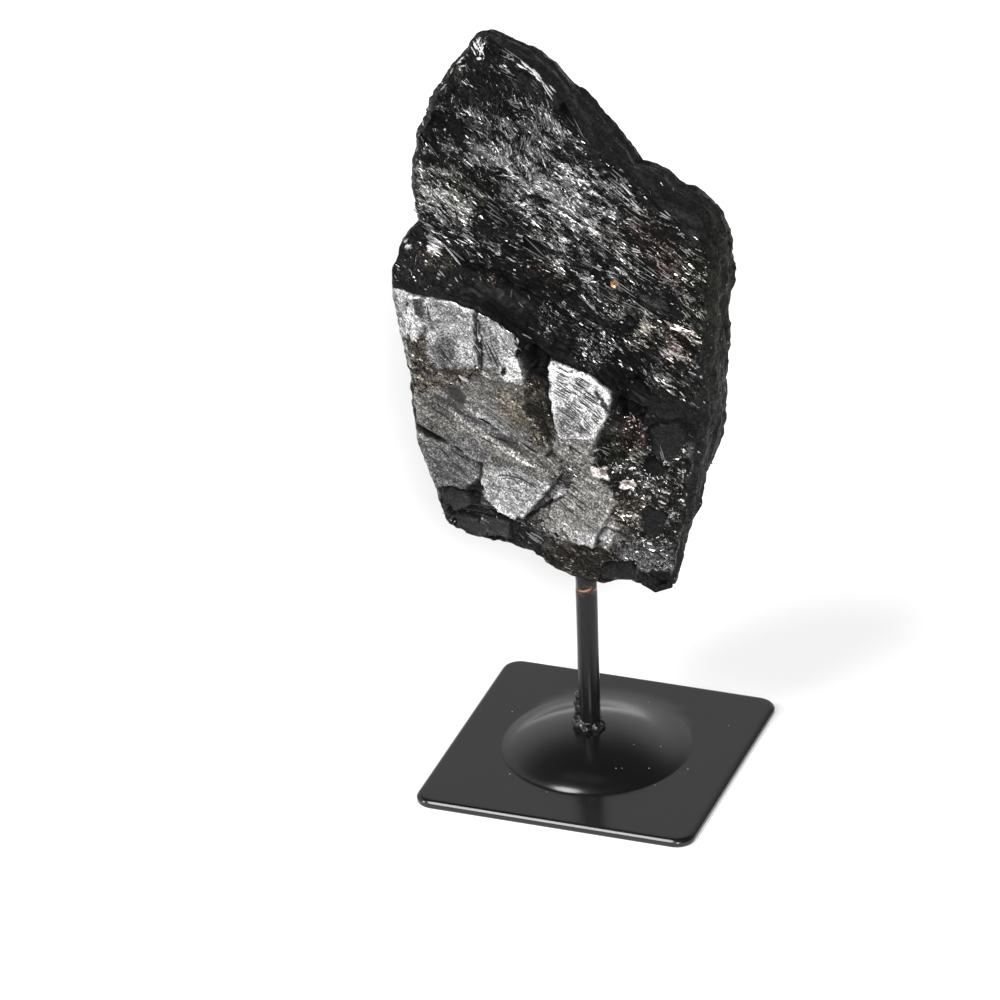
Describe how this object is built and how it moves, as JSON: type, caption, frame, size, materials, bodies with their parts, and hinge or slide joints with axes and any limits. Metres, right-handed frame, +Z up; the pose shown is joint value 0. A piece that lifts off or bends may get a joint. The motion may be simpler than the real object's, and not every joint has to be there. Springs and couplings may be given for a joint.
{
  "type": "black tourmaline on stand",
  "caption": "Rough slab of black tourmaline held upright on a round post over a square black steel base plate with a low dome.",
  "frame": {"origin": "under the middle of the whole object's box, on the surface that the base plate stands on", "axes": "+Z up along the post, -Y out of the stone's front face, +X to the viewer's right"},
  "size_m": [0.0908, 0.08, 0.2196],
  "materials": {
    "tourmaline": "broken, glittering",
    "post_paint": "satin black",
    "weld": "lumpy, painted over",
    "plate_paint": "satin black"
  },
  "bodies": {
    "root": {"tourmaline": "tourmaline", "post": "post_paint", "weld_bead": "weld", "base_plate": "plate_paint"}
  },
  "joints": []
}
